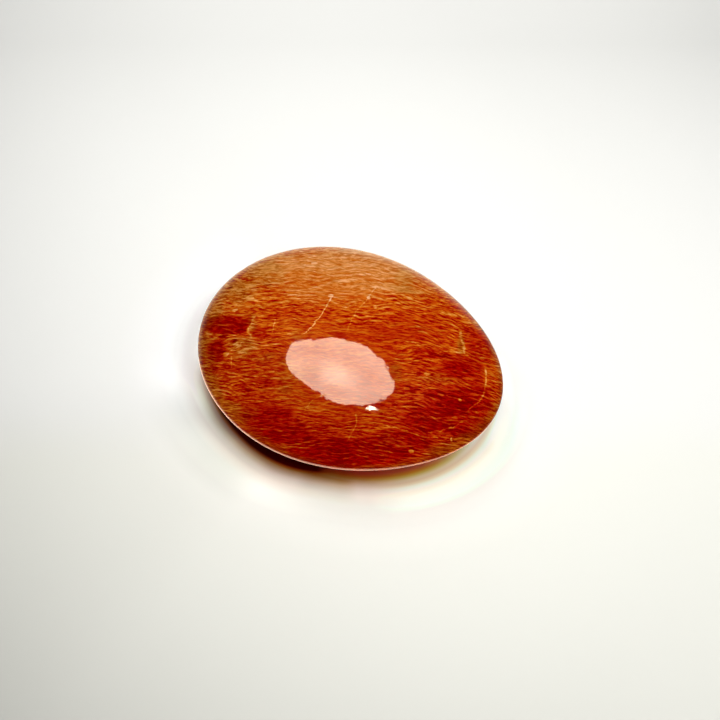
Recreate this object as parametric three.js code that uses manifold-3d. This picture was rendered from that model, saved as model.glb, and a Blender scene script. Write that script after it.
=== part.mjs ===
// A palm stone: a polished oval pebble of orange-red feldspar, with a small flat spot underneath.
// +X is the long axis, +Z is up, and the origin is the middle of the flat spot. Units are millimetres.
import * as THREE from 'three';
import { mergeVertices } from 'three/addons/utils/BufferGeometryUtils.js';
import Module from 'manifold-3d';

// Driving dimensions of the finished stone
const LENGTH = 64.5;
const WIDTH = 50;
const HEIGHT = 19;
const FLAT_DEPTH = 0.4; // how much of the rounded underside the flat spot takes off

// Form of the pebble, as shares of its own size
const CROWN_SHARE = 0.53; // share of the thickness above the widest level
const RIM_POWER = 0.22; // how much sooner than an ellipsoid the stone thins out towards its rim
const RIM_ROUND = 0.12; // how widely the rim is rounded over
const EGG = 0.022; // how much broader the -X half of the outline is than the +X half
const CORNERS = 0.0055; // how far the outline swells towards its four quarters
const WEDGE = 0.03; // how much thicker the -X end is than the +X end

const DETAIL = 20; // subdivisions of each edge of the starting icosahedron
const COLOUR = 0xa8401a; // the average orange-red of the stone

// Where the stone's skin lies in the direction of a unit vector, before it is brought to size
function skinPoint(direction) {
  const { x, y, z } = direction;
  const egg = EGG * (x ** 3 - 3 * x * y * y);
  const corners = CORNERS * (x ** 4 - 6 * x * x * y * y + y ** 4);
  const outline = 1 + egg + corners;
  const thickness = 0.5 + (CROWN_SHARE - 0.5) * z;
  const taper = ((z * z + RIM_ROUND ** 2) / (1 + RIM_ROUND ** 2)) ** RIM_POWER;
  return new THREE.Vector3(x * outline, y * outline, z * thickness * taper * (1 - WEDGE * x));
}

// The whole rounded pebble, its lowest point FLAT_DEPTH below the level z = 0
function pebbleGeometry() {
  const geometry = new THREE.IcosahedronGeometry(1, DETAIL);
  const position = geometry.getAttribute('position');
  for (let i = 0; i < position.count; i += 1) {
    const direction = new THREE.Vector3().fromBufferAttribute(position, i).normalize();
    position.setXYZ(i, ...skinPoint(direction));
  }
  geometry.computeBoundingBox();
  const middle = geometry.boundingBox.getCenter(new THREE.Vector3());
  const extent = geometry.boundingBox.getSize(new THREE.Vector3());
  geometry.translate(-middle.x, -middle.y, -geometry.boundingBox.min.z);
  geometry.scale(LENGTH / extent.x, WIDTH / extent.y, (HEIGHT + FLAT_DEPTH) / extent.z);
  geometry.translate(0, 0, -FLAT_DEPTH);
  return geometry;
}

// A block that reaches from well below the stone up to the level z = 0
function groundGeometry() {
  const depth = 10 * FLAT_DEPTH;
  const geometry = new THREE.BoxGeometry(LENGTH, WIDTH, depth);
  geometry.translate(0, 0, -depth / 2);
  return geometry;
}

// A closed geometry as a solid that can be cut, its shared vertices merged
function toSolid(wasm, geometry) {
  const bare = geometry.clone();
  bare.deleteAttribute('normal');
  bare.deleteAttribute('uv');
  const merged = mergeVertices(bare);
  return new wasm.Manifold(new wasm.Mesh({
    numProp: 3,
    vertProperties: new Float32Array(merged.getAttribute('position').array),
    triVerts: new Uint32Array(merged.index.array),
  }));
}

// A solid as a geometry, with normals
function toGeometry(solid) {
  const mesh = solid.getMesh();
  const geometry = new THREE.BufferGeometry();
  geometry.setAttribute('position', new THREE.BufferAttribute(new Float32Array(mesh.vertProperties), 3));
  geometry.setIndex(new THREE.BufferAttribute(new Uint32Array(mesh.triVerts), 1));
  geometry.computeVertexNormals();
  return geometry;
}

// The stone: the pebble with its underside ground flat where it rests
function palmStone(wasm) {
  const solid = toSolid(wasm, pebbleGeometry()).subtract(toSolid(wasm, groundGeometry()));
  const material = new THREE.MeshStandardMaterial({ color: COLOUR, roughness: 0.08, metalness: 0 });
  const mesh = new THREE.Mesh(toGeometry(solid), material);
  mesh.name = 'palm_stone';
  return mesh;
}

const wasm = await Module();
wasm.setup();

const part = new THREE.Group();
part.add(palmStone(wasm));

export default part;
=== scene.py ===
from math import cos, pi, radians, sin

import bmesh
import bpy
import numpy as np
from mathutils import Matrix, Vector
from mathutils.bvhtree import BVHTree


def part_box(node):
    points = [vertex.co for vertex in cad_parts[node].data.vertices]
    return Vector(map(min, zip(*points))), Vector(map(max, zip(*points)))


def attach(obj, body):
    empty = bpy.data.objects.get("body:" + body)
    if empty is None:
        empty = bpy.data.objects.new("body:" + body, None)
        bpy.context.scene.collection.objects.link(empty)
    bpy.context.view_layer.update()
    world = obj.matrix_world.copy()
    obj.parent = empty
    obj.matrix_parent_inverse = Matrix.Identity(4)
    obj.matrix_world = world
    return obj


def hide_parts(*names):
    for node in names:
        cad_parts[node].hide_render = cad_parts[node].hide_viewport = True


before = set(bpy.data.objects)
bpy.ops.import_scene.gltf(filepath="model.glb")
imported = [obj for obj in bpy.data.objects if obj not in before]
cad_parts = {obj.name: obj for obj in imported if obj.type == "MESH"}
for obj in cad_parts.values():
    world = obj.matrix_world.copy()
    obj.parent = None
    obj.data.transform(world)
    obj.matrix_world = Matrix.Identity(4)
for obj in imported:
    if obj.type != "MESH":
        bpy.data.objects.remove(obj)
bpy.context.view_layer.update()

MM = 0.001

# Form of the pebble, as shares of its own size
CROWN_SHARE = 0.53  # share of the thickness above the widest level
RIM_POWER = 0.22  # how much sooner than an ellipsoid the stone thins out towards its rim
RIM_ROUND = 0.12  # how widely the rim is rounded over
EGG = 0.022  # how much broader the -X half of the outline is than the +X half
CORNERS = 0.0055  # how far the outline swells towards its four quarters
WEDGE = 0.03  # how much thicker the -X end is than the +X end
FLAT_DEPTH = 0.4 * MM  # how much of the rounded underside the flat spot takes off
FLAT_EDGE = 0.02 * MM  # how softly the flat spot runs into the rounded underside
MESH_CUTS = 119  # cuts across each face of the starting cube

# Camera: the photo's viewing angle, and the pixel where it shows the middle of the stone's widest level
IMAGE_SIDE = 720
SENSOR = 36.0
FOCAL = 60.0
AZIMUTH = radians(19.8)
ELEVATION = radians(64)
DISTANCE = 247.8 * MM
MIDDLE_PIXEL = (346.9, 356.0)
PIXELS_PER_UNIT = FOCAL / SENSOR * IMAGE_SIDE  # pixels that a width spans at a distance as large as itself
PIXEL_SIZE = DISTANCE / PIXELS_PER_UNIT  # what a pixel spans on the stone

# Zones of the stone's colour: (x, y, half width, half height, strength), in pixels of the photo
ZONE_FADING = 0.7
RED_ZONES = [
    (216, 351, 9, 9, 1.1),
    (258, 332, 7, 5, 1.3),
    (266, 420, 24, 15, 1.0),
    (284, 436, 24, 14, 1.0),
    (322, 453, 36, 14, 1.3),
    (370, 455, 40, 13, 1.3),
    (452, 400, 24, 12, 1.0),
    (431, 420, 28, 12, 1.0),
    (400, 440, 34, 10, 1.0),
    (476, 406, 14, 24, 0.9),
    (464, 428, 16, 9, 0.7),
    (480, 347, 14, 18, 0.7),
    (432, 354, 17, 4, 0.9),
    (460, 368, 20, 10, 0.8),
    (410, 330, 40, 16, 0.45),
    (316, 318, 40, 10, 0.3),
]
STEP_ZONES = [
    (228, 325, 27, 9, 1.0),
]
GOLD_ZONES = [
    (212, 385, 8, 20, 0.4),
    (232, 414, 12, 12, 0.3),
    (266, 275, 19, 15, 0.8),
    (238, 292, 16, 10, 0.8),
    (213, 306, 9, 12, 0.6),
    (253, 325, 5, 11, 0.7),
    (243, 346, 13, 9, 0.8),
    (270, 360, 18, 8, 0.4),
    (290, 384, 16, 16, 0.5),
    (320, 403, 20, 7, 0.4),
    (404, 282, 13, 12, 0.8),
    (420, 295, 12, 6, 0.4),
    (466, 441, 14, 7, 0.6),
    (443, 450, 18, 7, 0.4),
    (396, 374, 7, 14, 0.4),
    (438, 379, 16, 5, 0.5),
    (461, 343, 4, 12, 0.9),
]
# Partly the stone's paler peach colour and partly a painted sheen, where the far side mirrors the pale
# surroundings
PEACH_AND_SHEEN_ZONES = [
    (320, 266, 62, 22, 1.0),
    (378, 270, 36, 20, 1.0),
    (335, 290, 50, 14, 0.9),
    (418, 285, 26, 10, 0.6),
]

# The golden rim, partly the stone's own gold at its thin edge and partly painted light coming through it:
# strength, turns in degrees from the photo's right, and widths as shares of the way in
RIM_GOLD_AND_LIGHT = 0.9
RIM_TURNS = (0, 45, 90, 135, 160, 180, 200, 215, 230, 250, 290, 315, 330, 345, 360)
RIM_WIDTHS = (0.05, 0.07, 0.06, 0.12, 0.13, 0.1, 0.08, 0.07, 0.05, 0.04, 0.03, 0.06, 0.06, 0.03, 0.05)

# Painted light: how much paler the stone's colour is painted where light comes through the thin rim on the
# near side, by turns in degrees from the photo's right
PAINTED_GLOW_TURNS = (0, 180, 200, 212, 290, 300, 330, 345, 360)
PAINTED_GLOWS = (0, 0, 0.6, 1, 1, 0.7, 0.2, 0, 0)
# Its sharp and its wide part: strength, and width as a share of the way in
PAINTED_GLOW_FALLS = [(0.75, 0.06), (0.25, 0.25)]

# Old fractures and lamella edges: pixels of the photo along each, its width in millimetres and its strength
VEINS = {
    "long_diagonal": ([(333, 295), (327, 305), (320, 316), (311, 327), (306, 332), (299, 336)], 0.26, 0.7),
    "faint_diagonal": ([(376, 286), (367, 300), (356, 312), (346, 334)], 0.3, 0.3),
    "short_left": ([(275, 319), (274, 325), (272, 333)], 0.22, 0.45),
    "end_arc": ([(485, 366), (486, 379), (485, 390), (480, 400), (472, 407), (465, 414)], 0.34, 0.52),
    "end_branch": ([(465, 420), (457, 425), (448, 429), (432, 432), (424, 433)], 0.24, 0.5),
    "low_branch": ([(441, 435), (432, 437), (420, 436), (409, 432), (392, 427), (376, 424)], 0.26, 0.45),
    "flame_edge": ([(460, 330), (462, 341), (464, 348), (463, 355)], 0.42, 0.5),
    "wedge_line": ([(436, 359), (448, 351), (459, 353), (470, 356)], 0.24, 0.35),
    "pale_wave": ([(405, 342), (414, 342), (418, 345), (429, 345), (440, 347)], 0.26, 0.35),
    "low_arc": ([(356, 413), (356, 423), (353, 430), (347, 442)], 0.24, 0.35),
    "left_branch": ([(322, 395), (312, 401), (304, 411)], 0.26, 0.3),
    "left_wave": ([(241, 379), (255, 376), (266, 372), (278, 371)], 0.26, 0.25),
    "left_upright": ([(232, 356), (231, 369)], 0.24, 0.25),
    "right_line": ([(436, 394), (448, 396), (460, 400)], 0.22, 0.35),
    "top_line": ([(342, 308), (357, 305)], 0.22, 0.3),
}

# The step where two blocks of lamellae meet, in pixels of the photo, and its width and strength as a vein
STEP = [
    (255, 315), (251, 324), (248, 332), (251, 336), (248, 340),
    (241, 343), (239, 347), (231, 351), (227, 356),
]
STEP_EDGE = (0.4, 0.35)

# Pale grains and dark flecks, and two painted glints near the lower rim: (x, y, half length, half
# thickness, strength), in pixels of the photo
SPECKS = [
    (235, 310, 3.0, 1.6, 0.5),
    (250, 298, 4.0, 1.8, 0.4),
    (314, 263, 3.0, 1.6, 0.35),
    (331, 296, 2.4, 2.2, 0.25),
    (369, 298, 1.8, 1.8, 0.4),
    (375, 307, 1.8, 1.4, 0.35),
    # the next two are painted glints
    (411, 451, 2.6, 1.4, 0.6),
    (451, 439, 1.2, 1.2, 0.6),
    (460, 400, 1.6, 1.2, 0.6),
    (455, 418, 3.0, 1.4, 0.35),
    (427, 374, 3.4, 1.2, 0.35),
    (226, 354, 3.4, 2.0, 0.35),
    (236, 344, 2.4, 2.4, 0.35),
    (229, 288, 4.0, 1.4, -0.45),
    (228, 292, 3.0, 1.2, -0.35),
    (268, 285, 5.0, 1.2, -0.35),
    (264, 275, 4.0, 1.4, -0.25),
    (272, 301, 5.0, 1.2, -0.25),
    (291, 305, 6.0, 1.2, -0.3),
    (297, 308, 6.0, 1.0, -0.3),
    (233, 341, 4.0, 2.0, -0.3),
    (222, 337, 6.0, 1.6, -0.3),
    (440, 355, 12.0, 1.6, -0.2),
    (250, 392, 6.0, 1.6, -0.2),
    (285, 390, 8.0, 1.2, -0.2),
]

# Paler and deeper patches, written as the specks are
PATCHES = [
    (232, 297, 26, 13, 0.09),
    (256, 325, 9, 12, 0.1),
    (243, 347, 14, 8, 0.12),
    (290, 384, 18, 16, 0.1),
    (320, 403, 24, 8, 0.16),
    (304, 325, 40, 12, 0.05),
    (216, 351, 10, 10, -0.14),
    (460, 368, 22, 12, -0.07),
    (440, 400, 34, 14, -0.04),
]

# Painted glare: the patch about the mirrored lamp, where the lines are painted weaker as the lamp's glare
# would wash them out, written as the specks are
PAINTED_GLARE_PATCH = (338, 372, 62, 42, -0.45)

# How the lamellae run: their lean into the stone, and how their lines curve down on the right
GRAIN_LEAN = radians(30)
GRAIN_BEND = 0.0048
GRAIN_BEND_START = -4.0
# Streaks of noise: scale along and across the lamellae per millimetre, detail, and roughness
BROAD_STREAKS = (0.06, 0.4, 2.0, 0.5)
PATCHY_STREAKS = (0.25, 0.5, 2.0, 0.6)
BAND_STREAKS = (0.4, 2.6, 1.0, 0.5)
FINE_STREAKS = (0.7, 4.4, 3.0, 0.6)
SWINGING_STREAKS = (0.2, 0.35, 2.0, 0.55)
FADING_STREAKS = (0.16, 0.9, 2.0, 0.5)
# The slow and the quick waver of the lines: their streaks, and their reach in millimetres
WAVERS = [
    ((0.1, 0.2, 2.0, 0.5), 2.4),
    ((0.5, 0.9, 2.0, 0.6), 0.25),
]
# Sets of thin lines: spacing in millimetres, lean, shift of the pattern, and strength
THREADS = [
    (0.85, 0.04, 0.0, 0.6),
    (1.05, -0.16, 7.3, 0.6),
    (0.7, 0.2, 3.1, 0.5),
]
THREAD_SWING = 1.7  # how far the thin lines swing from side to side, in millimetres

# The stone's tone, 0 for its darkest colour and 1 for its palest: where it starts, and what changes it
START_TONE = 0.2
BROAD_TONE = 0.5
# painted light and shade: the tone painted paler away from the near side, which lies in shade
PAINTED_LIGHT_AWAY_TONE = 0.0065  # for each millimetre away
RED_TONE = -0.18
PEACH_AND_SHEEN_TONE = 0.24
BLOCK_TONE = -0.12
VEIN_TONE = 0.8

# Colours of the stone from its darkest lines to its palest, for each kind of zone; the peach colours also
# paint the far side's sheen
ORANGE_COLOURS = [
    (0.0, (108, 0, 0)),
    (0.1, (126, 0, 0)),
    (0.2, (141, 4, 0)),
    (0.3, (151, 20, 2)),
    (0.4, (159, 37, 3)),
    (0.5, (167, 55, 4)),
    (0.6, (174, 72, 6)),
    (0.7, (181, 90, 12)),
    (0.8, (190, 106, 24)),
    (0.9, (200, 124, 44)),
    (1.0, (213, 147, 78)),
]
PEACH_AND_SHEEN_COLOURS = [
    (0.0, (112, 0, 0)),
    (0.1, (128, 0, 0)),
    (0.2, (141, 6, 1)),
    (0.3, (150, 23, 4)),
    (0.4, (158, 38, 5)),
    (0.5, (165, 54, 6)),
    (0.6, (171, 71, 10)),
    (0.7, (177, 91, 22)),
    (0.8, (185, 109, 44)),
    (0.9, (195, 127, 68)),
    (1.0, (210, 152, 104)),
]
GOLD_COLOURS = [
    (0.0, (96, 6, 0)),
    (0.3, (128, 46, 2)),
    (0.6, (155, 84, 12)),
    (0.9, (184, 124, 60)),
]

# The polish
ROUGHNESS = 0.04
REFRACTION = 1.53
MIRROR_TINT = (1.0, 1.0, 0.88, 1)
SWELL_SCALE = 0.35  # how closely the faint swells of the polished skin follow each other, per millimetre
SWELL_DEPTH = 0.03 * MM

# Lamps that only the polish shows, by the edges of their mirror images in pixels of the photo
SOFTBOX_EDGE = [
    (390, 373), (383, 361), (373, 352), (365, 346), (355, 342), (345, 339), (331, 338), (318, 339),
    (305, 341), (294, 342), (288, 350), (286, 358), (288, 366), (293, 374), (301, 382), (311, 388),
    (320, 392), (326, 398), (333, 402), (345, 404), (360, 406), (373, 404), (386, 398), (395, 388),
]
SOFTBOX_MIDDLE = (336, 375)
SOFTBOX_GLOW = 10.6
SOFTBOX_MIDDLE_GLOW = 5.0  # how much brighter it is at its middle
SOFTBOX_MIDDLE_REACH = 0.06
SOFTBOX_CLOUD_SCALE = 16.0
SPARKLE_MIDDLE = (371.5, 408.6)
SPARKLE_HALF = (4.4, 1.7)
SPARKLE_CORNERS = 12
SPARKLE_GLOW = 45.0
LAMP_HEIGHT = 0.3
LAMP_COLOUR = (1.0, 0.84, 0.7)

# A crescent over the floor, whose mirror image is the bright line along the near rim
RIM_LIGHT_TURNS = (176, 338)  # where it starts and ends, in degrees from the photo's right
RIM_LIGHT_HALVES = (34 * MM, 26.8 * MM)  # half the length and width of its inner edge
RIM_LIGHT_REACH = 28 * MM  # its width at its middle
RIM_LIGHT_LEVEL = 1 * MM
RIM_LIGHT_STEPS = 48
RIM_LIGHT_GLOW = 6.3
RIM_LIGHT_COLOUR = (1.0, 0.66, 0.48)

# Soft lamps that light the stone and the floor: turn and rise in degrees, size in metres, and watts
ROOM_LAMPS = [
    (0, 90, 0.2, 3.8),
    (330, 60, 0.2, 1.0),
    (0, 60, 0.2, 0.7),
    (115, 52, 0.2, 1.15),
    (155, 56, 0.2, 0.4),
]
ROOM_LAMP_REACH = 0.45
ROOM_COLOUR = (1, 0.8, 0.6, 1)
ROOM_LEVEL = 0.015

# A pale backdrop, and how far from the stone the floor starts and ends to turn as pale as it
BACKDROP_REACH = 2.9
BACKDROP_LEVEL = 0.84
BACKDROP_COLOUR = (1, 0.995, 0.97)
BACKDROP_BLEND = (0.13, 0.8)

# The floor's paleness near the stone, and how painted shade changes it per 100 mm to the right and away, as
# the light falls off
FLOOR_SIDE = 6.0
FLOOR_LEVEL = 0.79
PAINTED_FALLOFF_SLOPE = (0.062, 0.06)
PAINTED_FALLOFF_BEND = (-0.21, -0.084, -0.21)  # with the squares: right by right, right by away, away by away
FLOOR_REACH = 90.0  # how far from the stone the paleness still changes, in millimetres
FLOOR_LIMIT = 1.25  # the palest that the tints may make it
NEAR_SIDE = (6 * MM, 22 * MM)  # where the floor behind the stone gives way to the shade before it

# Painted shade and light on the floor round the stone: tints by rings shaped as its outline, 1 at the
# outline; the shade is painted warm at its edge, as the stone's coloured light, with brighter rings beyond
RINGS = (0.84, 1.6)
PAINTED_SHADE_TINTS = [
    (0.86, (0.78, 0.1, 0.05)), (0.89, (0.73, 0.19, 0.02)), (0.913, (0.72, 0.38, 0.08)),
    (0.938, (0.85, 0.58, 0.32)), (0.964, (0.98, 0.8, 0.6)), (0.99, (1.15, 1.0, 0.85)),
    (1.015, (1.2, 1.1, 0.95)), (1.06, (1.3, 1.22, 1.07)), (1.14, (1.24, 1.25, 1.13)),
    (1.2, (1.14, 1.15, 1.05)), (1.3, (1.03, 1.03, 0.95)), (1.6, (1.0, 1.0, 0.92)),
]
PAINTED_LEFT_TINTS = [
    (0.96, (0.72, 0.58, 0.42)), (1.0, (0.95, 0.9, 0.8)), (1.03, (1.55, 1.6, 1.5)),
    (1.06, (1.6, 1.65, 1.6)), (1.13, (1.4, 1.42, 1.4)), (1.2, (1.15, 1.17, 1.15)),
    (1.3, (1.05, 1.05, 1.03)), (1.6, (1.02, 1.02, 0.98)),
]
FAR_TINT = (1, 1, 0.96, 1)

# Further painted shade and light in some directions only, which multiply those above
PAINTED_SIDE_TINTS = [
    (0.96, (0.52, 0.36, 0.22)), (0.986, (0.66, 0.56, 0.5)), (1.02, (0.6, 0.52, 0.48)),
    (1.04, (0.66, 0.62, 0.6)), (1.07, (0.82, 0.79, 0.77)), (1.1, (0.98, 0.96, 0.95)),
    (1.2, (1.1, 1.1, 1.1)), (1.35, (1.05, 1.05, 1.05)), (1.5, (1.0, 1.0, 1.0)),
]
PAINTED_DARK_TINTS = [
    (0.96, (0.6, 0.45, 0.35)), (0.984, (0.6, 0.5, 0.4)), (1.0, (0.88, 0.85, 0.78)),
    (1.02, (1.1, 1.15, 1.03)), (1.045, (1.25, 1.38, 1.22)), (1.08, (1.09, 1.2, 1.14)),
    (1.12, (0.87, 0.9, 0.88)), (1.23, (0.74, 0.76, 0.75)), (1.35, (0.86, 0.87, 0.86)),
    (1.5, (0.97, 0.97, 0.97)),
]
PAINTED_LOW_TINTS = [
    (0.92, (0.9, 0.8, 0.6)), (0.94, (0.82, 0.62, 0.3)), (0.98, (0.87, 0.78, 0.6)),
    (1.02, (0.87, 0.85, 0.78)), (1.06, (0.88, 0.9, 0.88)), (1.11, (0.96, 0.98, 0.95)),
    (1.16, (1.0, 1.0, 1.0)), (1.5, (1.0, 1.0, 1.0)),
]
PAINTED_RIGHT_TINTS = [
    (0.9, (0.94, 1.45, 1.3)), (0.937, (1.04, 1.3, 1.45)), (0.96, (0.95, 0.95, 0.84)),
    (0.98, (0.97, 1.02, 0.84)), (1.0, (0.98, 1.2, 1.15)), (1.02, (1.04, 1.18, 1.2)),
    (1.04, (1.13, 1.2, 1.14)), (1.06, (1.2, 1.26, 1.17)), (1.08, (1.19, 1.3, 1.25)),
    (1.14, (1.1, 1.27, 1.23)), (1.2, (1.03, 1.0, 1.01)), (1.5, (1.0, 1.0, 1.0)),
]
PAINTED_END_TINTS = [
    (0.96, (1.05, 1.0, 1.0)), (1.0, (1.2, 1.2, 1.2)), (1.03, (1.3, 1.3, 1.3)),
    (1.07, (1.15, 1.18, 1.2)), (1.11, (1.0, 1.0, 1.0)), (1.5, (1.0, 1.0, 1.0)),
]
# the painted dark crescent of shade under the overhang, in its deepest direction
PAINTED_DEEP_TINTS = [
    (0.86, (0.16, 0.02, 0.02)), (0.885, (0.2, 0.02, 0.02)), (0.905, (0.9, 0.55, 0.3)),
    (0.92, (1.0, 1.0, 1.0)),
]
# Their directions: turn from the photo's right, and the degrees off it where they start and are full
LEFT_ARC = (160, 41.4, 18.2)
DEEP_ARC = (210, 53.1, 0)
TINTED_ARCS = [
    ((192, 21.6, 3.6), PAINTED_SIDE_TINTS),
    ((207, 28.4, 8.1), PAINTED_DARK_TINTS),
    ((259, 15.2, 5.1), PAINTED_LOW_TINTS),
    ((318, 41.4, 14.1), PAINTED_RIGHT_TINTS),
    ((350, 21.6, 5.7), PAINTED_END_TINTS),
]
DEEP_SHIFT = 0.09  # how many rings further out the shade reaches in its deepest direction

# The floor as the polish shows it, whose light fades from ring to ring and is dark under the stone
MIRRORED_SIDE = 0.8
MIRRORED_DEPTH = 0.1 * MM
MIRRORED_COLOUR = (1, 0.86, 0.68)
MIRRORED_FADING = 0.3  # the share that is left one ring further out
MIRRORED_FULL_RING = 1.7
MIRRORED_LEAST = 0.08
MIRRORED_MOST = 1.8
MIRRORED_SHADE = (0.7, 1.2, 0.04, 1.0)  # from ring, to ring, and the light there
MIRRORED_FAR_SIDE = (90, 138.6, 110.5, 0.15, 1.0)  # turn, degrees off it from and to, and the light there
MIRRORED_RIGHT_END = (12, 36.9, 14.1, 1.0, 0.6)


# Shape

def skin_points(direction):
    """Where the stone's skin lies in the direction of each unit vector, before it is brought to size."""
    x, y, z = direction.T
    egg = EGG * (x ** 3 - 3 * x * y * y)
    corners = CORNERS * (x ** 4 - 6 * x * x * y * y + y ** 4)
    outline = 1 + egg + corners
    thickness = 0.5 + (CROWN_SHARE - 0.5) * z
    taper = ((z * z + RIM_ROUND ** 2) / (1 + RIM_ROUND ** 2)) ** RIM_POWER
    return np.column_stack((x * outline, y * outline, z * thickness * taper * (1 - WEDGE * x)))


def to_size(points):
    """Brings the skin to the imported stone's box, and grinds the flat spot into its underside."""
    low, high = (np.array(corner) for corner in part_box("palm_stone"))
    low[2] -= FLAT_DEPTH
    share = (points - points.min(axis=0)) / np.ptp(points, axis=0)
    sized = low + share * (high - low)
    height = sized[:, 2]
    sized[:, 2] = (height + np.sqrt(height ** 2 + FLAT_EDGE ** 2)) / 2
    return sized


def add_object(name, data):
    thing = bpy.data.objects.new(name, data)
    bpy.context.collection.objects.link(thing)
    return thing


def mesh_of(name, net):
    """Turns a bmesh into a mesh."""
    mesh = bpy.data.meshes.new(name)
    net.to_mesh(mesh)
    net.free()
    return mesh


def make_stone():
    """The pebble as an even net of quads: a cube's faces blown up to the skin."""
    net = bmesh.new()
    bmesh.ops.create_cube(net, size=2)
    bmesh.ops.subdivide_edges(net, edges=net.edges[:], cuts=MESH_CUTS, use_grid_fill=True)
    mesh = mesh_of("polished_stone", net)
    corner = np.empty(len(mesh.vertices) * 3)
    mesh.vertices.foreach_get("co", corner)
    direction = np.tan(corner.reshape(-1, 3) * pi / 4)
    direction /= np.linalg.norm(direction, axis=1, keepdims=True)
    mesh.vertices.foreach_set("co", to_size(skin_points(direction)).ravel())
    mesh.shade_smooth()
    mesh.update()
    return add_object("polished_stone", mesh)


# Camera

def view_axes():
    """Unit vectors of the photo's view: right, up, and back towards the camera."""
    back = Vector((sin(AZIMUTH) * cos(ELEVATION), -cos(AZIMUTH) * cos(ELEVATION), sin(ELEVATION)))
    right = Vector((cos(AZIMUTH), sin(AZIMUTH), 0))
    return right, back.cross(right), back


def stone_middle():
    """The middle of the stone's widest level, which is the centre of its form."""
    raw = skin_points(np.array([[1.0, 0, 0], [-1.0, 0, 0]]))
    low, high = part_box("palm_stone")
    share = -raw[1, 0] / (raw[0, 0] - raw[1, 0])
    along = low[0] + share * (high[0] - low[0])
    below = (high[2] - low[2] + FLAT_DEPTH) * (1 - CROWN_SHARE) - FLAT_DEPTH
    return Vector((along, 0, below))


def make_camera():
    """Sets the camera up at the photo's viewing angle, and returns its place."""
    right, up, back = view_axes()
    aside = (IMAGE_SIDE / 2 - MIDDLE_PIXEL[0]) / PIXELS_PER_UNIT * DISTANCE
    above = (MIDDLE_PIXEL[1] - IMAGE_SIDE / 2) / PIXELS_PER_UNIT * DISTANCE
    place = stone_middle() + back * DISTANCE + right * aside + up * above
    data = bpy.data.cameras.new("camera")
    data.lens = FOCAL
    data.sensor_width = SENSOR
    data.clip_start = 0.01
    camera = add_object("camera", data)
    turn = Matrix((right, up, back)).transposed()
    camera.matrix_world = Matrix.Translation(place) @ turn.to_4x4()
    bpy.context.scene.camera = camera
    return place


def to_pixels(points, eye):
    """The pixels of the photo where points of the stone are seen."""
    right, up, back = (np.array(axis) for axis in view_axes())
    offset = points - np.array(eye)
    scale = PIXELS_PER_UNIT / -(offset @ back)
    return IMAGE_SIDE / 2 + (offset @ right) * scale, IMAGE_SIDE / 2 - (offset @ up) * scale


def from_pixel(tree, eye, pixel):
    """The point of the stone that the photo shows at a pixel."""
    right, up, back = view_axes()
    across = (pixel[0] - IMAGE_SIDE / 2) / PIXELS_PER_UNIT
    down = (pixel[1] - IMAGE_SIDE / 2) / PIXELS_PER_UNIT
    ray = -back + right * across - up * down
    return tree.ray_cast(eye, ray.normalized())[0]


def floor_direction(turn):
    """The unit vector along the floor at a turn in degrees from the photo's right."""
    angle = AZIMUTH + radians(turn)
    return Vector((cos(angle), sin(angle), 0))


# Colour zones, kept in the mesh

def soft_spot(x, y, zone):
    """How strong a zone is at each pixel: even about its middle, then fading out."""
    centre_x, centre_y, half_width, half_height, strength = zone
    far = ((x - centre_x) / half_width) ** 2 + ((y - centre_y) / half_height) ** 2
    return strength * np.exp(-ZONE_FADING * far ** 2)


def from_rim(place):
    """How far in from the rim points lie, as a share of the way to the middle, and their turns."""
    turns = np.linspace(-pi, pi, 361)
    outline = skin_points(np.column_stack((np.cos(turns), np.sin(turns), 0 * turns)))[:, :2]
    low, high = (np.array(corner[:2]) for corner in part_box("palm_stone"))
    outline = low + (outline - outline.min(axis=0)) / np.ptp(outline, axis=0) * (high - low)
    turn = np.arctan2(place[:, 1], place[:, 0])
    rim = np.interp(turn, np.arctan2(outline[:, 1], outline[:, 0]), np.hypot(*outline.T), period=2 * pi)
    return 1 - np.hypot(place[:, 0], place[:, 1]) / rim, np.degrees(turn - AZIMUTH)


def golden_rim_with_painted_light(place):
    """How golden the stone is towards its thin rim, partly its own gold and partly painted light through
    the edge, by the width that the band has in each direction.
    """
    share_in, turn = from_rim(place)
    width = np.interp(turn, RIM_TURNS, RIM_WIDTHS, period=360)
    return RIM_GOLD_AND_LIGHT * np.exp(-(share_in / width) ** 2)


def painted_rim_glow(place):
    """How much brighter the stone's colour is painted where light comes through its rim: painted light."""
    share_in, turn = from_rim(place)
    falling = sum(strength * np.exp(-(share_in / width) ** 2) for strength, width in PAINTED_GLOW_FALLS)
    return falling * np.interp(turn, PAINTED_GLOW_TURNS, PAINTED_GLOWS, period=360)


def add_zones(stone, eye):
    """Stores the zones at each vertex, as the channels of a colour attribute, and the light painted in
    through the rim.
    """
    count = len(stone.data.vertices)
    place = np.empty(count * 3)
    stone.data.vertices.foreach_get("co", place)
    place = place.reshape(-1, 3)
    x, y = to_pixels(place, eye)
    values = np.empty((count, 4))
    for channel, zones in enumerate((RED_ZONES, GOLD_ZONES, PEACH_AND_SHEEN_ZONES, STEP_ZONES)):
        values[:, channel] = sum(soft_spot(x, y, zone) for zone in zones)
    # the golden rim joins the gold zones: partly the stone's gold, partly painted light through the thin
    # edge
    values[:, 1] += golden_rim_with_painted_light(place)
    layer = stone.data.color_attributes.new("zones", "FLOAT_COLOR", "POINT")
    layer.data.foreach_set("color", values.clip(0, 1).ravel())
    # the light painted in through the rim, kept as the glow attribute
    layer = stone.data.attributes.new("glow", "FLOAT", "POINT")
    layer.data.foreach_set("value", painted_rim_glow(place))


# Materials

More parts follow.
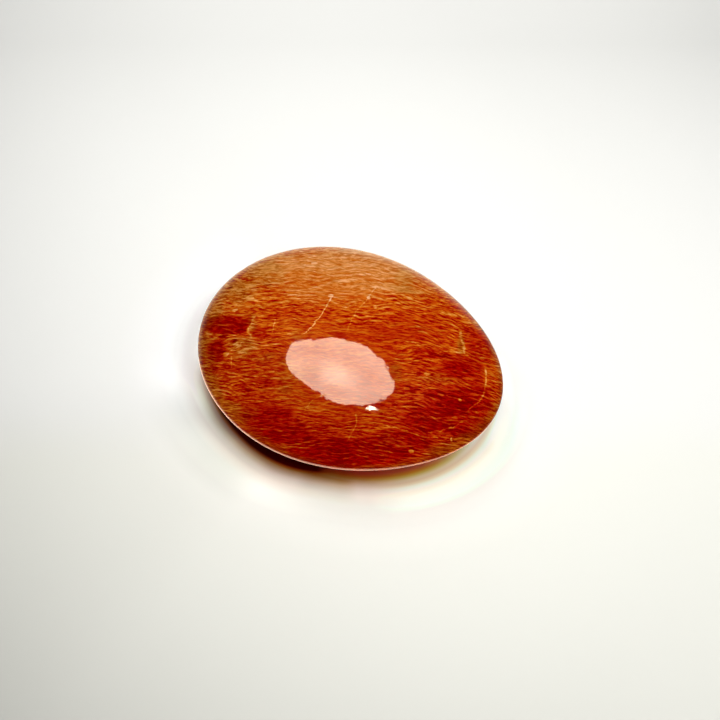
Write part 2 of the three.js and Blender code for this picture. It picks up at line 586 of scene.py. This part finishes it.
class Graph:
    """Adds and links the nodes of one node tree."""

    def __init__(self, tree):
        self.tree = tree

    def add(self, kind, inputs=None, output=0, **settings):
        node = self.tree.nodes.new(kind)
        for name, value in settings.items():
            setattr(node, name, value)
        for key, value in (inputs or {}).items():
            if isinstance(value, bpy.types.NodeSocket):
                self.tree.links.new(value, node.inputs[key])
            elif value is not None:
                node.inputs[key].default_value = value
        return None if output is None else node.outputs[output]

    def math(self, operation, a, b=None, c=None, clamp=False):
        return self.add("ShaderNodeMath", {0: a, 1: b, 2: c}, operation=operation, use_clamp=clamp)

    def dot(self, a, b):
        return self.add("ShaderNodeVectorMath", {0: a, 1: b}, output="Value", operation="DOT_PRODUCT")

    def length(self, vector):
        return self.add("ShaderNodeVectorMath", {0: vector}, output="Value", operation="LENGTH")

    def scaled(self, vector, scale):
        return self.add("ShaderNodeVectorMath", {0: vector, "Scale": scale}, operation="SCALE")

    def vector(self, x, y, z):
        return self.add("ShaderNodeCombineXYZ", {0: x, 1: y, 2: z})

    def smooth(self, value, low, high, to_low=0.0, to_high=1.0):
        """Runs smoothly from to_low, where value is at low, to to_high, where it is at high."""
        return self.add(
            "ShaderNodeMapRange",
            {"Value": value, "From Min": low, "From Max": high, "To Min": to_low, "To Max": to_high},
            interpolation_type="SMOOTHSTEP",
        )

    def noise(self, vector, scale, detail, roughness):
        return self.add(
            "ShaderNodeTexNoise",
            {"Vector": vector, "Scale": scale, "Detail": detail, "Roughness": roughness},
            output="Fac",
        )

    def mix(self, share, a, b, blend="MIX"):
        node_inputs = {"Factor": share, 6: a, 7: b}
        return self.add("ShaderNodeMix", node_inputs, output=2, data_type="RGBA", blend_type=blend)

    def ramp(self, value, stops):
        """A colour that runs through stops, each a place from 0 to 1 and a colour."""
        out = self.add("ShaderNodeValToRGB", {0: value})
        band = out.node.color_ramp
        for index, (place, colour) in enumerate(stops):
            stop = band.elements[index] if index < 2 else band.elements.new(place)
            stop.position = place
            stop.color = (*colour, 1)
        return out


def srgb(red, green, blue):
    """A colour written as on a screen, 0 to 255, as the linear one that a shader takes."""
    shares = [channel / 255 for channel in (red, green, blue)]
    return tuple(s / 12.92 if s <= 0.04045 else ((s + 0.055) / 1.055) ** 2.4 for s in shares)


def new_material(name, shader=True):
    """A material with its graph, which is empty unless the material is to keep its Principled shader."""
    material = bpy.data.materials.new(name)
    material.use_nodes = True
    if not shader:
        material.node_tree.nodes.clear()
    return material, Graph(material.node_tree)


# The stone's material

def streaks(graph, grain, along_scale, across_scale, detail, roughness, shift=0.0):
    """Noise drawn out along the lamellae; another shift gives another pattern."""
    along, across, inward = grain
    stretched = graph.vector(
        graph.math("MULTIPLY", along, along_scale),
        graph.math("MULTIPLY", across, across_scale),
        graph.math("MULTIPLY_ADD", inward, along_scale, shift),
    )
    return graph.noise(stretched, 1.0, detail, roughness)


def grain_coordinates(graph, place):
    """Millimetres along the lamellae, across them and into the stone, with a gentle waver."""
    turn, lean = AZIMUTH, GRAIN_LEAN
    along = graph.dot(place, (cos(turn), sin(turn), 0))
    across = graph.dot(place, (-sin(turn) * cos(lean), cos(turn) * cos(lean), sin(lean)))
    inward = graph.dot(place, (sin(turn) * sin(lean), -cos(turn) * sin(lean), cos(lean)))
    bent_part = graph.math("MAXIMUM", graph.math("SUBTRACT", along, GRAIN_BEND_START), 0.0)
    bend = graph.math("MULTIPLY", bent_part, bent_part)
    across = graph.math("MULTIPLY_ADD", bend, GRAIN_BEND, across)
    straight = (along, across, inward)
    for waver, reach in WAVERS:
        across = graph.math("MULTIPLY_ADD", streaks(graph, straight, *waver), reach, across)
    return along, across, inward


def threads(graph, grain, spacing, lean, shift):
    """Thin lines about spacing millimetres apart that lean, waver, and fade in and out; from 0 to 1."""
    along, across, inward = grain
    leaning = (along, graph.math("MULTIPLY_ADD", along, lean, across), inward)
    swing = streaks(graph, leaning, *SWINGING_STREAKS, shift)
    turns = graph.math("MULTIPLY_ADD", swing, THREAD_SWING, leaning[1])
    wave = graph.math("SINE", graph.math("MULTIPLY", turns, 2 * pi / spacing))
    fading = graph.smooth(streaks(graph, leaning, *FADING_STREAKS, shift), 0.36, 0.6)
    return graph.math("MULTIPLY", graph.smooth(wave, -0.1, 0.95), fading)


def lamella_lines(graph, grain):
    """How much paler or darker the lines make the stone, and the finest of them alone."""
    lines = graph.math("MULTIPLY_ADD", streaks(graph, grain, *BAND_STREAKS), 1.2, -0.9)
    for spacing, lean, shift, strength in THREADS:
        lines = graph.math("MULTIPLY_ADD", threads(graph, grain, spacing, lean, shift), strength, lines)
    fine = graph.smooth(streaks(graph, grain, *FINE_STREAKS), 0.4, 0.6, -0.42, 0.42)
    return graph.math("ADD", lines, fine), fine


class Plan:
    """The stone's plan in millimetres to the photo's right and away, and the photo's pixels in it."""

    def __init__(self, graph, place, tree, eye):
        self.graph = graph
        self.tree = tree
        self.eye = eye
        self.right = floor_direction(0)
        self.away = floor_direction(90)
        shift = graph.math("SUBTRACT", graph.noise(place, 0.9, 3.0, 0.6), 0.5)
        self.side = graph.math("MULTIPLY_ADD", shift, 0.7, graph.dot(place, self.right))
        self.ahead = graph.math("MULTIPLY_ADD", shift, -0.7, graph.dot(place, self.away))

    def spots(self, pixels):
        hits = [from_pixel(self.tree, self.eye, pixel) / MM for pixel in pixels]
        return [(hit.dot(self.right), hit.dot(self.away)) for hit in hits]

    def off_line(self, pixels):
        """How far a point lies to one side of a line, and its share of the way along it."""
        spots = self.spots(pixels)
        run, rise = self.side, self.ahead
        if abs(spots[0][0] - spots[-1][0]) < abs(spots[0][1] - spots[-1][1]):
            spots = [(away, side) for side, away in spots]
            run, rise = rise, run
        spots.sort()
        start, length = spots[0][0], spots[-1][0] - spots[0][0]
        low = min(spot[1] for spot in spots)
        reach = max(max(spot[1] for spot in spots) - low, 0.1)
        share = self.graph.math("DIVIDE", self.graph.math("SUBTRACT", run, start), length)
        curve = self.graph.add("ShaderNodeFloatCurve", {"Value": share})
        points = curve.node.mapping.curves[0].points
        for index, (at, height) in enumerate(spots):
            spot = ((at - start) / length, (height - low) / reach)
            if index < 2:
                points[index].location = spot
            else:
                points.new(*spot)
        curve.node.mapping.update()
        middle = self.graph.math("MULTIPLY_ADD", curve, reach, low)
        return self.graph.math("SUBTRACT", rise, middle), share

    def vein(self, pixels, width, strength):
        """How much of a vein there is."""
        off, share = self.off_line(pixels)
        line = self.graph.smooth(self.graph.math("ABSOLUTE", off), 0.2 * width, 0.9 * width, strength, 0.0)
        begins = self.graph.smooth(share, -0.02, 0.08)
        ends = self.graph.smooth(share, 1.02, 0.92)
        return self.graph.math("MULTIPLY", line, self.graph.math("MULTIPLY", begins, ends))

    def speck(self, x, y, half_length, half_thickness, strength):
        """How much paler, or where strength is below 0 how much darker, a small spot makes the stone:
        grains, flecks and patches, also the painted glints and the painted glare.
        """
        side, ahead = self.spots([(x, y)])[0]
        pixel = PIXEL_SIZE / MM
        run = self.graph.math("SUBTRACT", self.side, side)
        run = self.graph.math("MULTIPLY", run, 1 / (half_length * pixel))
        rise = self.graph.math("SUBTRACT", self.ahead, ahead)
        rise = self.graph.math("MULTIPLY", rise, sin(ELEVATION) / (half_thickness * pixel))
        far = self.graph.math("MULTIPLY_ADD", run, run, self.graph.math("MULTIPLY", rise, rise))
        return self.graph.smooth(far, 0.3, 1.6, strength, 0.0)


def combined(graph, operation, masks):
    total = masks[0]
    for mask in masks[1:]:
        total = graph.math(operation, total, mask)
    return total


def zone_masks(graph, plan, lines, uneven):
    """How red, golden and peach-coloured the stone is, the peach partly a painted sheen, and where the red
    block left of the step is.
    """
    zones = graph.add("ShaderNodeAttribute", output="Color", attribute_name="zones")
    red, gold, peach_and_sheen = graph.add("ShaderNodeSeparateColor", {0: zones}).node.outputs
    ragged = graph.math("MULTIPLY_ADD", lines, 0.25, graph.math("MULTIPLY_ADD", uneven, 1.2, -1.2))
    red = graph.smooth(graph.math("ADD", red, ragged), 0.1, 0.85)
    gold = graph.smooth(graph.math("ADD", gold, ragged), 0.05, 1.1)
    block = graph.math("MULTIPLY_ADD", ragged, 0.3, zones.node.outputs["Alpha"])
    left_of_step = graph.smooth(plan.off_line(STEP)[0], 0.2, -0.2)
    block = graph.math("MULTIPLY", left_of_step, graph.smooth(block, 0.4, 0.55))
    return graph.math("MAXIMUM", red, block), gold, peach_and_sheen, block


def line_clarity(graph, plan, patchy, red, peach_and_sheen, block):
    """How strongly the lamella lines show."""
    clarity = graph.smooth(patchy, 0.3, 0.7, 0.36, 0.48)
    # painted glare: the lines weaker about the mirrored lamp
    painted_glare = plan.speck(*PAINTED_GLARE_PATCH)
    changes = ((peach_and_sheen, -0.5, 1.0), (red, -0.3, 0.95), (painted_glare, 1.0, 1.0), (block, -0.15, 1.0))
    for mask, change, elsewhere in changes:
        clarity = graph.math("MULTIPLY", clarity, graph.math("MULTIPLY_ADD", mask, change, elsewhere))
    return clarity


def stone_colour(graph, plan, place, grain):
    """The stone's colour: zones, lamella lines, veins, grains, flecks and patches, with painted light and
    shade: light through the near rim, a sheen in the peach zones, glints, the glare about the mirrored
    lamp, and a tone paler towards the far side.
    """
    broad = streaks(graph, grain, *BROAD_STREAKS)
    patchy = streaks(graph, grain, *PATCHY_STREAKS)
    lines, fine = lamella_lines(graph, grain)
    red, gold, peach_and_sheen, block = zone_masks(graph, plan, lines, graph.math("ADD", broad, patchy))

    tone = graph.math("MULTIPLY_ADD", broad, BROAD_TONE, START_TONE)
    # painted light and shade: paler towards the far side, darker towards the near side
    tone = graph.math("MULTIPLY_ADD", plan.ahead, PAINTED_LIGHT_AWAY_TONE, tone)
    for mask, change in ((red, RED_TONE), (peach_and_sheen, PEACH_AND_SHEEN_TONE), (block, BLOCK_TONE)):
        tone = graph.math("MULTIPLY_ADD", mask, change, tone)
    tone = graph.math("MULTIPLY_ADD", lines, line_clarity(graph, plan, patchy, red, peach_and_sheen, block), tone)
    veins = [plan.vein(*vein) for vein in VEINS.values()] + [plan.vein(STEP, *STEP_EDGE)]
    veins = combined(graph, "MAXIMUM", veins)
    broken = graph.smooth(graph.noise(place, 1.1, 2.0, 0.6), 0.3, 0.6, 0.35, 1.0)
    tone = graph.math("MULTIPLY_ADD", graph.math("MULTIPLY", veins, broken), VEIN_TONE, tone)
    specks = [plan.speck(*speck) for speck in SPECKS + PATCHES]
    tone = graph.math("ADD", tone, combined(graph, "ADD", specks))

    orange, pale, golden = (
        graph.ramp(tone, [(share, srgb(*colour)) for share, colour in colours])
        for colours in (ORANGE_COLOURS, PEACH_AND_SHEEN_COLOURS, GOLD_COLOURS)
    )
    paleness = graph.math("MULTIPLY_ADD", veins, 0.4, graph.math("MULTIPLY", peach_and_sheen, 1.3), clamp=True)
    colour = graph.mix(paleness, orange, pale)
    colour = graph.mix(graph.math("MULTIPLY", gold, 0.85), colour, golden)
    # painted light: the colour is made brighter where light comes through the near rim
    glow = graph.add("ShaderNodeAttribute", output="Fac", attribute_name="glow")
    return graph.scaled(colour, graph.math("ADD", glow, graph.math("MULTIPLY_ADD", fine, 0.27, 1.0)))


def stone_material(tree, eye):
    """Polished feldspar, coloured all through, with the faintest swells in its polish."""
    material, graph = new_material("polished_feldspar")
    shader = material.node_tree.nodes["Principled BSDF"]
    place = graph.scaled(graph.add("ShaderNodeTexCoord", output="Object"), 1 / MM)
    grain = grain_coordinates(graph, place)
    colour = stone_colour(graph, Plan(graph, place, tree, eye), place, grain)
    graph.tree.links.new(colour, shader.inputs["Base Color"])
    shader.inputs["Roughness"].default_value = ROUGHNESS
    shader.inputs["IOR"].default_value = REFRACTION
    shader.inputs["Specular Tint"].default_value = MIRROR_TINT
    swell = graph.noise(place, SWELL_SCALE, 2.0, 0.5)
    bump = graph.add("ShaderNodeBump", {"Height": swell, "Distance": SWELL_DEPTH}, output="Normal")
    graph.tree.links.new(bump, shader.inputs["Normal"])
    return material


# Floor and backdrop

def flat_square(name, side):
    """A level square about the stone."""
    half = side / 2
    mesh = bpy.data.meshes.new(name)
    corners = [(-half, -half, 0), (half, -half, 0), (half, half, 0), (-half, half, 0)]
    mesh.from_pydata(corners, [], [(0, 1, 2, 3)])
    return add_object(name, mesh)


def add_glow(graph, colour, strength):
    """Makes a material give off light and nothing else."""
    glow = graph.add("ShaderNodeEmission", {"Color": (*colour, 1), "Strength": strength})
    graph.add("ShaderNodeOutputMaterial", {0: glow}, output=None)


def ring_number(graph, place):
    """Which ring round the stone a spot of the floor lies on, 1 at the stone's outline."""
    half_length, half_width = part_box("palm_stone")[1][:2]
    halves = {0: place, 1: (1 / half_length, 1 / half_width, 0)}
    return graph.length(graph.add("ShaderNodeVectorMath", halves, operation="MULTIPLY"))


def facing(graph, place, turn, wide, full, at_wide=0.0, at_full=1.0):
    """Runs from at_wide to at_full as a spot's direction comes from wide to full degrees off a turn."""
    towards = graph.add("ShaderNodeVectorMath", {0: place}, operation="NORMALIZE")
    nearness = graph.dot(towards, floor_direction(turn))
    return graph.smooth(nearness, cos(radians(wide)), cos(radians(full)), at_wide, at_full)


def tint_ramp(graph, rings, tints):
    """The tint at each ring."""
    low, high = RINGS
    share = graph.math("MULTIPLY_ADD", rings, 1 / (high - low), -low / (high - low))
    return graph.ramp(share, [((ring - low) / (high - low), tint) for ring, tint in tints])


def painted_floor_shade(graph, place):
    """The stone's shade painted on the floor, with painted warm light at its edge, and the brighter rings
    painted beyond it.
    """
    rings = ring_number(graph, place)
    deep = facing(graph, place, *DEEP_ARC)
    shifted = graph.math("MULTIPLY_ADD", deep, -DEEP_SHIFT, rings)
    behind = graph.mix(facing(graph, place, *LEFT_ARC), FAR_TINT, tint_ramp(graph, rings, PAINTED_LEFT_TINTS))
    near_side = graph.smooth(graph.dot(place, -floor_direction(90)), *NEAR_SIDE)
    tint = graph.mix(near_side, behind, tint_ramp(graph, shifted, PAINTED_SHADE_TINTS))
    changes = [(facing(graph, place, *arc), rings, tints) for arc, tints in TINTED_ARCS]
    changes.append((graph.smooth(deep, 0.0, 0.3), shifted, PAINTED_DEEP_TINTS))
    for share, where, tints in changes:
        change = graph.mix(share, (1, 1, 1, 1), tint_ramp(graph, where, tints))
        tint = graph.mix(1.0, tint, change, "MULTIPLY")
    return tint


def floor_paleness_and_painted_falloff(graph, place):
    """How pale the floor is painted: its paleness near the stone, with painted shade where the light falls
    off further out.
    """
    across, ahead = (
        graph.add(
            "ShaderNodeMapRange",
            {
                "Value": graph.dot(place, floor_direction(turn) / MM),
                "From Min": -FLOOR_REACH, "From Max": FLOOR_REACH,
                "To Min": -FLOOR_REACH / 100, "To Max": FLOOR_REACH / 100,
            },
        )
        for turn in (0, 90)
    )
    level = graph.math("MULTIPLY_ADD", across, PAINTED_FALLOFF_SLOPE[0], FLOOR_LEVEL)
    level = graph.math("MULTIPLY_ADD", ahead, PAINTED_FALLOFF_SLOPE[1], level)
    for pair, bend in zip(((across, across), (across, ahead), (ahead, ahead)), PAINTED_FALLOFF_BEND):
        level = graph.math("MULTIPLY_ADD", graph.math("MULTIPLY", *pair), bend, level)
    return level


def make_floor():
    """A pale floor with the stone's shade and light painted on it and painted shade towards its corners,
    which glows far off to turn as pale as the backdrop.
    """
    floor = flat_square("floor", FLOOR_SIDE)
    material, graph = new_material("floor")
    shader = material.node_tree.nodes["Principled BSDF"]
    place = graph.add("ShaderNodeTexCoord", output="Object")
    colour = graph.scaled(painted_floor_shade(graph, place), floor_paleness_and_painted_falloff(graph, place))
    limit = (FLOOR_LIMIT, FLOOR_LIMIT, FLOOR_LIMIT)
    colour = graph.add("ShaderNodeVectorMath", {0: colour, 1: limit}, operation="MINIMUM")
    graph.tree.links.new(colour, shader.inputs["Base Color"])
    shader.inputs["Specular IOR Level"].default_value = 0.0
    paling = graph.smooth(graph.length(place), *BACKDROP_BLEND, 0.0, BACKDROP_LEVEL)
    graph.tree.links.new(paling, shader.inputs["Emission Strength"])
    shader.inputs["Emission Color"].default_value = (*BACKDROP_COLOUR, 1)
    material.cycles.emission_sampling = "NONE"
    floor.data.materials.append(material)
    floor.visible_glossy = False


def make_backdrop():
    """A pale round wall far behind everything, which only the camera sees."""
    net = bmesh.new()
    bmesh.ops.create_uvsphere(net, u_segments=48, v_segments=24, radius=BACKDROP_REACH)
    backdrop = add_object("backdrop", mesh_of("backdrop", net))
    material, graph = new_material("backdrop", shader=False)
    add_glow(graph, BACKDROP_COLOUR, BACKDROP_LEVEL)
    material.cycles.emission_sampling = "NONE"
    backdrop.data.materials.append(material)
    backdrop.visible_diffuse = False
    backdrop.visible_glossy = False
    backdrop.visible_shadow = False


def only_mirrored(piece, shadow=True):
    """Hides a shape of the stage from the camera and from diffuse light, so that only the stone's polish
    shows it.
    """
    piece.visible_camera = False
    piece.visible_diffuse = False
    piece.visible_shadow = shadow


def make_mirrored_floor():
    """The floor as the polish shows it: bright beside the stone, and darker under it and further off."""
    floor = flat_square("mirrored_floor", MIRRORED_SIDE)
    floor.location.z = -MIRRORED_DEPTH
    material, graph = new_material("mirrored_floor", shader=False)
    place = graph.add("ShaderNodeTexCoord", output="Object")
    rings = ring_number(graph, place)
    fading = graph.math("POWER", MIRRORED_FADING, graph.math("SUBTRACT", rings, MIRRORED_FULL_RING))
    fading = graph.math("MINIMUM", graph.math("ADD", fading, MIRRORED_LEAST), MIRRORED_MOST)
    shares = [
        fading,
        graph.smooth(rings, *MIRRORED_SHADE),
        facing(graph, place, *MIRRORED_FAR_SIDE),
        facing(graph, place, *MIRRORED_RIGHT_END),
    ]
    add_glow(graph, MIRRORED_COLOUR, combined(graph, "MULTIPLY", shares))
    floor.data.materials.append(material)
    only_mirrored(floor, shadow=False)


# Lights

def mirrored(tree, eye, pixel):
    """Where the ray that the stone mirrors at a pixel of the photo meets the lamps' level."""
    x, y = pixel
    reach = 1.5
    left, right = (from_pixel(tree, eye, (x + step, y)) for step in (-reach, reach))
    above, below = (from_pixel(tree, eye, (x, y + step)) for step in (-reach, reach))
    normal = (right - left).cross(above - below).normalized()
    spot = from_pixel(tree, eye, pixel)
    ray = (spot - eye).normalized().reflect(normal)
    return spot + ray * ((LAMP_HEIGHT - spot.z) / ray.z)


def make_lamp(name, corners):
    """A flat lamp that only the polish shows, and the graph of its empty material."""
    mesh = bpy.data.meshes.new(name)
    mesh.from_pydata([tuple(corner) for corner in corners], [], [tuple(range(len(corners)))])
    material, graph = new_material(name, shader=False)
    mesh.materials.append(material)
    only_mirrored(add_object(name, mesh))
    return graph


def make_softbox(tree, eye):
    """A broad lamp, a little cloudy and brightest about its middle."""
    graph = make_lamp("softbox", [mirrored(tree, eye, pixel) for pixel in SOFTBOX_EDGE])
    place = graph.add("ShaderNodeTexCoord", output="Object")
    middle = mirrored(tree, eye, SOFTBOX_MIDDLE)
    far = graph.add("ShaderNodeVectorMath", {0: place, 1: middle}, output="Value", operation="DISTANCE")
    even = 0.7 * SOFTBOX_GLOW
    strength = graph.smooth(far, 0.0, SOFTBOX_MIDDLE_REACH, even + SOFTBOX_MIDDLE_GLOW, even)
    cloud = graph.noise(place, SOFTBOX_CLOUD_SCALE, 2.0, 0.5)
    strength = graph.math("MULTIPLY_ADD", cloud, 0.6 * SOFTBOX_GLOW, strength)
    add_glow(graph, LAMP_COLOUR, strength)


def make_small_lamp(tree, eye):
    """The lamp whose mirror image is the sparkle below the softbox's."""
    turns = [2 * pi * step / SPARKLE_CORNERS for step in range(SPARKLE_CORNERS)]
    edge = [
        (SPARKLE_MIDDLE[0] + SPARKLE_HALF[0] * cos(turn), SPARKLE_MIDDLE[1] + SPARKLE_HALF[1] * sin(turn))
        for turn in turns
    ]
    graph = make_lamp("small_lamp", [mirrored(tree, eye, pixel) for pixel in edge])
    add_glow(graph, LAMP_COLOUR, SPARKLE_GLOW)


def make_rim_light():
    """A glowing crescent on the near side, whose mirror image is the bright line along the rim."""
    corners = []
    for step in range(RIM_LIGHT_STEPS + 1):
        share = step / RIM_LIGHT_STEPS
        turn = AZIMUTH + radians(RIM_LIGHT_TURNS[0] + (RIM_LIGHT_TURNS[1] - RIM_LIGHT_TURNS[0]) * share)
        inner = np.array(RIM_LIGHT_HALVES) * (cos(turn), sin(turn))
        reach = RIM_LIGHT_REACH * sin(pi * share) ** 0.5
        outer = inner * (1 + reach / np.hypot(*inner))
        corners += [(*inner, RIM_LIGHT_LEVEL), (*outer, RIM_LIGHT_LEVEL)]
    faces = [(2 * step, 2 * step + 1, 2 * step + 3, 2 * step + 2) for step in range(RIM_LIGHT_STEPS)]
    mesh = bpy.data.meshes.new("rim_light")
    mesh.from_pydata(corners, [], faces)
    material, graph = new_material("rim_light", shader=False)
    add_glow(graph, RIM_LIGHT_COLOUR, RIM_LIGHT_GLOW)
    mesh.materials.append(material)
    only_mirrored(add_object("rim_light", mesh), shadow=False)


def make_room_lamp(turn, rise, size, watts):
    """A soft lamp on a wide ring round the stone that only lights it, and isn't mirrored in it."""
    data = bpy.data.lights.new("room_lamp", "AREA")
    data.shape = "DISK"
    data.size = size
    data.energy = watts
    lamp = add_object("room_lamp", data)
    towards = floor_direction(turn) * cos(radians(rise)) + Vector((0, 0, sin(radians(rise))))
    lamp.location = ROOM_LAMP_REACH * towards
    lamp.rotation_euler = towards.to_track_quat("Z", "Y").to_euler()
    lamp.visible_camera = False
    lamp.visible_glossy = False


def make_room_light():
    """The dim warm light that comes from all around."""
    world = bpy.data.worlds.new("room")
    bpy.context.scene.world = world
    world.use_nodes = True
    background = world.node_tree.nodes["Background"]
    background.inputs["Color"].default_value = ROOM_COLOUR
    background.inputs["Strength"].default_value = ROOM_LEVEL
    world.cycles_visibility.glossy = False


stone = make_stone()
eye = make_camera()
add_zones(stone, eye)
stone_tree = BVHTree.FromObject(stone, bpy.context.evaluated_depsgraph_get())
stone.data.materials.append(stone_material(stone_tree, eye))
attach(stone, "root")
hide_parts("palm_stone")

make_floor()
make_backdrop()
make_mirrored_floor()
make_rim_light()
make_softbox(stone_tree, eye)
make_small_lamp(stone_tree, eye)
for room_lamp in ROOM_LAMPS:
    make_room_lamp(*room_lamp)
make_room_light()
bpy.context.scene.view_settings.view_transform = "Standard"
